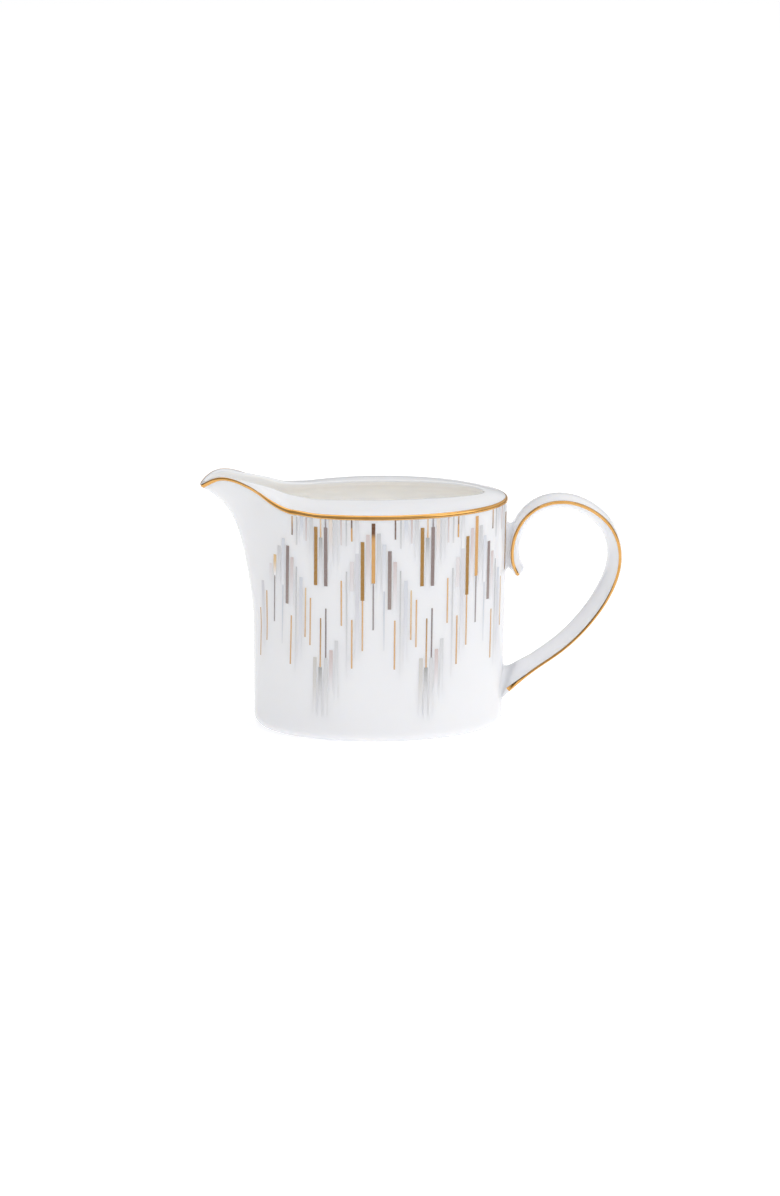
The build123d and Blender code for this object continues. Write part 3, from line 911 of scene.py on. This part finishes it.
def stroke_mesh(column, bottom, top, width, side):
    """Points, faces and heights of one stroke: a thin closed ribbon laid along the wall."""
    middle = (column - FRONT_COLUMN) * COLUMN_PITCH
    rows, heights = [], []
    for z in spread_between(bottom, top, max(3, ceil((top - bottom) / STROKE_STEP))):
        centre = middle + upright(column, z)
        angles = [column_angle(centre + aside) for aside in (-width / 2, 0, width / 2)]
        over = [lifted_wall(angle, z, PRINT_LIFT, side) for angle in angles]
        under = [lifted_wall(angle, z, -PRINT_SINK, side) for angle in angles[::-1]]
        rows.append(over + under if side < 0 else (over + under)[::-1])
        heights += [z] * len(rows[-1])
    points, faces = capped(rows)
    return points, faces, heights + [bottom, top]


def repeats_of(column, bottom, top, shortest):
    """Every repeat of a stroke that lies on the printed wall: its number, column and trimmed top."""
    last = LAST_COLUMN if bottom > RIM_HEIGHT / 2 else LAST_LOW_COLUMN
    for repeat in REPEATS:
        real = column + REPEAT * repeat
        real_top = min(top, spout_trim(real))
        if FIRST_COLUMN <= real <= last and real_top - bottom > shortest:
            yield repeat, real, real_top


def ink_at(share, foot_ink, top_ink):
    tone = smoothstep((share - BROWN_FROM) / BROWN_BLEND) if top_ink is BROWN else share
    return [mix(foot, top, tone) for foot, top in zip(foot_ink, top_ink)]


slots = {part["node"]: part["material_slot"] for part in frame["record"]["subparts"]}


def print_piece(name, strokes):
    """Every stroke of one ink over all repeats and both sides, with ink and strength on its points."""
    points, faces, inks, strengths = [], [], [], []
    is_bar = name.endswith("bars")
    width, shortest = (BAR, SHORTEST_BAR) if is_bar else (LINE, SHORTEST_LINE)
    for column, bottom, top, low_ink, high_ink, strengths_up in strokes:
        for repeat, real, real_top in repeats_of(column, bottom, top, shortest):
            # The brown tops show on the middle repeat only.
            top_ink = ORANGE_GOLD if high_ink is BROWN and repeat else high_ink
            foot_ink, strong = low_ink, strengths_up
            if is_bar and low_ink is ORANGE_GOLD and real_top < top:
                foot_ink, top_ink, strong = PALE_GOLD, PALE_GOLD, CUT_BACK
            for side in (-1, 1):
                more, sides, heights = stroke_mesh(real, bottom, real_top, width, side)
                faces += [tuple(corner + len(points) for corner in face) for face in sides]
                points += more
                shares = [(z - bottom) / (top - bottom) for z in heights]
                inks += [ink_at(share, foot_ink, top_ink) for share in shares]
                strengths += np.interp(shares, STRENGTH_SHARES, strong).tolist()
    piece = new_piece(name.replace("print_", "ink_"), points, faces, slots[name], name)
    ink = piece.data.attributes.new("ink", "FLOAT_COLOR", "POINT")
    ink.data.foreach_set("color", [value for tone in inks for value in (*tone, 1.0)])
    strength = piece.data.attributes.new("strength", "FLOAT", "POINT")
    strength.data.foreach_set("value", strengths)
    return piece


print_pieces = [print_piece(name, strokes) for name, strokes in STROKES.items()]

# --- Materials ----------------------------------------------------------------

WHITE = (1, 1, 1)
GLAZE = (0.90, 0.905, 0.94)
POOLED = 0.985  # how much darker the glaze is where it has pooled
# Painted light: the hollow's glaze has a brighter, warmer base than the outside's, to light the inside.
INNER_GLAZE_PAINTED_LIGHT = (0.965, 0.961, 0.95)
GLAZE_IOR = 1.52
GLOSS = (0.07, 0.12)
RIPPLE = 0.12
INNER_RIPPLE = 0.2
SLIP_RIPPLE = 0.3
GOLD_RIPPLE = 0.2
RIPPLE_HEIGHT = 0.0006
THROUGH = 0.55  # thin bone china lets some light through to the inside of the jug
THROUGH_DEPTH = 0.0044
THROUGH_TINT = (1.0, 0.92, 0.82)
# Painted glow: the hollow's glaze glows from emission in this tint, to light the inside.
INNER_PAINTED_GLOW = (1.0, 0.975, 0.935)
PAINTED_GLOW_HEIGHTS = (0.070, 0.077)  # painted glow: emission on the inside, fading out between these heights up by the thick shoulder
PAINTED_GLOW_STRENGTHS = (0.14, 0.02)
PAINTED_SHADE_HEIGHTS = (0.070, 0.082)
PAINTED_THROAT_SHADE = (0.62, (0.89, 0.875, 0.855))  # painted shade in the base colour up in the throat: where between them it is darkest, and its tint
PAINTED_SLIP_GLOW = 0.05  # painted glow: emission that brightens the slip pads against the shade in the gaps beside them
WEAR = (0.93, 1.05)  # how much the print's strength varies from grain to grain
INK_METAL = 0.25  # the gold and copper inks shine a little
GOLD_DARK = (0.64, 0.335, 0.095)
GOLD_BRIGHT = (0.76, 0.43, 0.15)


def new_material(name):
    material = bpy.data.materials.new(name)
    material.use_nodes = True
    nodes, links = material.node_tree.nodes, material.node_tree.links
    return material, nodes, links, nodes["Principled BSDF"]


def add_ramp(nodes, *stops):
    """A colour ramp through two or more stops, each a position and a colour."""
    ramp = nodes.new("ShaderNodeValToRGB")
    first, *middle, last = stops
    for element, (position, colour) in zip(ramp.color_ramp.elements, (first, last)):
        element.position = position
        element.color = (*colour, 1)
    for position, colour in middle:
        ramp.color_ramp.elements.new(position).color = (*colour, 1)
    return ramp


def add_noise(nodes, links, place, scale, detail):
    """Noise laid over the piece."""
    noise = nodes.new("ShaderNodeTexNoise")
    noise.inputs["Scale"].default_value = scale
    noise.inputs["Detail"].default_value = detail
    links.new(place.outputs["Object"], noise.inputs["Vector"])
    return noise.outputs["Fac"]


def mapped(nodes, links, value, span, results=(0.0, 1.0)):
    """A value taken from one span to another."""
    scale = nodes.new("ShaderNodeMapRange")
    scale.inputs["From Min"].default_value, scale.inputs["From Max"].default_value = span
    scale.inputs["To Min"].default_value, scale.inputs["To Max"].default_value = results
    links.new(value, scale.inputs["Value"])
    return scale.outputs["Result"]


def add_mix(nodes, links, kind, first, second):
    """A mix of two colours, whose factor is still to be set."""
    blend = nodes.new("ShaderNodeMix")
    blend.data_type = "RGBA"
    blend.blend_type = kind
    links.new(first, blend.inputs[6])
    links.new(second, blend.inputs[7])
    return blend


def glaze_tone(nodes, links, base):
    """Porcelain's own colour: the base with a faint slow drift, as a thick glaze pools."""
    place = nodes.new("ShaderNodeTexCoord")
    ramp = add_ramp(nodes, (0.3, [value * POOLED for value in base]), (0.7, base))
    links.new(add_noise(nodes, links, place, scale=38.0, detail=3.0), ramp.inputs["Fac"])
    return ramp.outputs["Color"], place


def glaze_surface(nodes, links, shader, place, ripple):
    """Gloss that varies a little, and the soft ripple of a fired glaze."""
    fine = add_noise(nodes, links, place, scale=520.0, detail=2.0)
    gloss = mapped(nodes, links, fine, (0.3, 0.7), GLOSS)
    links.new(gloss, shader.inputs["Roughness"])
    waves = add_noise(nodes, links, place, scale=95.0, detail=1.5)
    bump = nodes.new("ShaderNodeBump")
    bump.inputs["Strength"].default_value = ripple
    bump.inputs["Distance"].default_value = RIPPLE_HEIGHT
    links.new(waves, bump.inputs["Height"])
    links.new(bump.outputs["Normal"], shader.inputs["Normal"])


def porcelain(name, base, ripple=RIPPLE):
    material, nodes, links, shader = new_material(name)
    colour, place = glaze_tone(nodes, links, base)
    links.new(colour, shader.inputs["Base Color"])
    glaze_surface(nodes, links, shader, place, ripple)
    shader.inputs["IOR"].default_value = GLAZE_IOR
    shader.inputs["Subsurface Weight"].default_value = THROUGH
    shader.inputs["Subsurface Radius"].default_value = THROUGH_TINT
    shader.inputs["Subsurface Scale"].default_value = THROUGH_DEPTH
    return material, nodes, links, shader


def inside_porcelain_painted_light():
    """The hollow's glaze, with painted light: a brighter, warmer base than the outside's, a painted
    glow from emission, and painted shade up in the throat.
    """
    material, nodes, links, shader = porcelain("inner_glaze_painted_light", INNER_GLAZE_PAINTED_LIGHT, INNER_RIPPLE)
    place = nodes.new("ShaderNodeTexCoord")
    axes = nodes.new("ShaderNodeSeparateXYZ")
    links.new(place.outputs["Object"], axes.inputs[0])
    painted_glow = mapped(nodes, links, axes.outputs["Z"], PAINTED_GLOW_HEIGHTS, PAINTED_GLOW_STRENGTHS)
    shader.inputs["Emission Color"].default_value = (*INNER_PAINTED_GLOW, 1)
    links.new(painted_glow, shader.inputs["Emission Strength"])
    # Painted shade: the base colour is darkened in a band up in the throat.
    painted_shade = add_ramp(nodes, (0, WHITE), PAINTED_THROAT_SHADE, (1, WHITE))
    links.new(mapped(nodes, links, axes.outputs["Z"], PAINTED_SHADE_HEIGHTS), painted_shade.inputs["Fac"])
    glaze = shader.inputs["Base Color"].links[0].from_socket
    throat_shaded_glaze = add_mix(nodes, links, "MULTIPLY", glaze, painted_shade.outputs["Color"])
    throat_shaded_glaze.inputs["Factor"].default_value = 1.0
    links.new(throat_shaded_glaze.outputs[2], shader.inputs["Base Color"])
    return material


# The slip pads' glaze, with a painted glow from emission that lifts the shade in the gaps beside the
# handle.
def slip():
    material, _, _, shader = porcelain("slip_glaze_painted_glow", GLAZE, SLIP_RIPPLE)
    shader.inputs["Emission Color"].default_value = (*WHITE, 1)
    shader.inputs["Emission Strength"].default_value = PAINTED_SLIP_GLOW
    return material


def printed(name, metallic):
    """Fired print: ink over the glaze, whose strength falls away to the bare glaze."""
    material, nodes, links, shader = new_material(name)
    glaze, place = glaze_tone(nodes, links, GLAZE)
    ink = nodes.new("ShaderNodeAttribute")
    ink.attribute_name = "ink"
    strength = nodes.new("ShaderNodeAttribute")
    strength.attribute_name = "strength"
    grain = add_noise(nodes, links, place, scale=1500.0, detail=2.0)
    wear = mapped(nodes, links, grain, (0.3, 0.7), WEAR)
    cover = nodes.new("ShaderNodeMath")
    cover.operation = "MULTIPLY"
    cover.use_clamp = True
    links.new(strength.outputs["Fac"], cover.inputs[0])
    links.new(wear, cover.inputs[1])
    blend = add_mix(nodes, links, "MIX", glaze, ink.outputs["Color"])
    links.new(cover.outputs["Value"], blend.inputs["Factor"])
    links.new(blend.outputs[2], shader.inputs["Base Color"])
    glaze_surface(nodes, links, shader, place, RIPPLE)
    shader.inputs["IOR"].default_value = GLAZE_IOR
    shader.inputs["Metallic"].default_value = metallic
    return material


def burnished_gold():
    material, nodes, links, shader = new_material("burnished_gold")
    place = nodes.new("ShaderNodeTexCoord")
    ramp = add_ramp(nodes, (0.3, GOLD_DARK), (0.72, GOLD_BRIGHT))
    links.new(add_noise(nodes, links, place, scale=160.0, detail=4.0), ramp.inputs["Fac"])
    links.new(ramp.outputs["Color"], shader.inputs["Base Color"])
    shader.inputs["Metallic"].default_value = 1.0
    glaze_surface(nodes, links, shader, place, GOLD_RIPPLE)
    return material


body.data.materials.append(porcelain("glazed_porcelain", GLAZE)[0])
body.data.materials.append(inside_porcelain_painted_light())
handle.data.materials.append(porcelain("strap_glaze", GLAZE)[0])
slip_glaze_painted_glow = slip()
for piece in (lower_joint, upper_joint):
    piece.data.materials.append(slip_glaze_painted_glow)
gold = burnished_gold()
for piece in gilt_pieces:
    piece.data.materials.append(gold)
for piece in print_pieces:
    is_metal = "gold" in piece.name or "copper" in piece.name
    piece.data.materials.append(printed(piece.name + "_enamel", INK_METAL if is_metal else 0.0))

# --- Floor, light and camera --------------------------------------------------

FLOOR_HALF = 3.0
floor_corners = [(x * FLOOR_HALF, y * FLOOR_HALF, 0) for x, y in ((-1, -1), (1, -1), (1, 1), (-1, 1))]
floor_mesh = bpy.data.meshes.new("floor")
floor_mesh.from_pydata(floor_corners, [], [(0, 1, 2, 3)])
floor = bpy.data.objects.new("floor", floor_mesh)
scene.collection.objects.link(floor)
floor_material, _, _, floor_shader = new_material("pale_floor")
floor_shader.inputs["Base Color"].default_value = (0.94, 0.94, 0.94, 1)
floor_shader.inputs["Emission Color"].default_value = (1, 1, 1, 1)
floor_shader.inputs["Emission Strength"].default_value = 0.36
floor_shader.inputs["Roughness"].default_value = 0.6
floor_mesh.materials.append(floor_material)


def area_light(name, place, aim, size, power):
    light = bpy.data.lights.new(name, "AREA")
    light.shape = "RECTANGLE"
    light.size, light.size_y = size
    light.energy = power
    lamp = bpy.data.objects.new(name, light)
    lamp.location = place
    lamp.rotation_mode = "QUATERNION"
    lamp.rotation_quaternion = (Vector(aim) - Vector(place)).to_track_quat("-Z", "Y")
    scene.collection.objects.link(lamp)


area_light("key_right", (1.0, -0.75, 0.95), (0, 0, 0.04), (0.9, 0.9), 2.5)
area_light("fill_left", (-1.1, -0.7, 0.25), (0, 0, 0.03), (0.7, 0.6), 0.22)
area_light("top", (0.0, 0.15, 1.3), (0, 0, 0.04), (1.2, 1.0), 4.3)

# A white studio tent, greyer low down round the sides and on the left.
world = bpy.data.worlds.new("studio")
scene.world = world
world.use_nodes = True
sky_nodes, sky_links = world.node_tree.nodes, world.node_tree.links
direction = sky_nodes.new("ShaderNodeTexCoord")
parts = sky_nodes.new("ShaderNodeSeparateXYZ")
sky_links.new(direction.outputs["Generated"], parts.inputs[0])
low_wall = add_ramp(
    sky_nodes, (0.08, (0.34, 0.34, 0.35)), (0.3, WHITE), (0.8, (1.06, 1.06, 1.06))
)
sky_links.new(parts.outputs["Z"], low_wall.inputs["Fac"])
backdrop = sky_nodes["Background"]
sky_links.new(low_wall.outputs["Color"], backdrop.inputs["Color"])
sideways = mapped(sky_nodes, sky_links, parts.outputs["X"], (-1.0, 1.0), (0.34, 0.90))
sky_links.new(sideways, backdrop.inputs["Strength"])

scene.view_settings.view_transform = "Standard"

# The camera fitted to the photo: its turn, height, roll and distance about a point on the jug's
# axis, how far it stands off that axis, and its focal length against the photo's longer side.
AZIMUTH, ELEVATION, ROLL = radians(-4.557), radians(16.934), radians(0.594)
DISTANCE = 1500.0
ASIDE, ABOVE = 3.87, 41.1
LENS_SCALE = 4500 / 1196

back = Vector((sin(AZIMUTH) * cos(ELEVATION), -cos(AZIMUTH) * cos(ELEVATION), sin(ELEVATION)))
level_right = Vector((cos(AZIMUTH), sin(AZIMUTH), 0))
level_up = back.cross(level_right)
right = level_right * cos(ROLL) + level_up * sin(ROLL)
up = level_up * cos(ROLL) - level_right * sin(ROLL)
camera_data = bpy.data.cameras.new("camera")
camera_data.lens = LENS_SCALE * camera_data.sensor_width
camera = bpy.data.objects.new("camera", camera_data)
scene.collection.objects.link(camera)
place = Vector((BODY_X, 0, 0)) + right * ASIDE + up * ABOVE + back * DISTANCE
turn = Matrix((right, up, back)).transposed().to_4x4()
camera.matrix_world = Matrix.Translation(place * MM) @ turn
camera_data.clip_start, camera_data.clip_end = 0.1, 20
scene.camera = camera
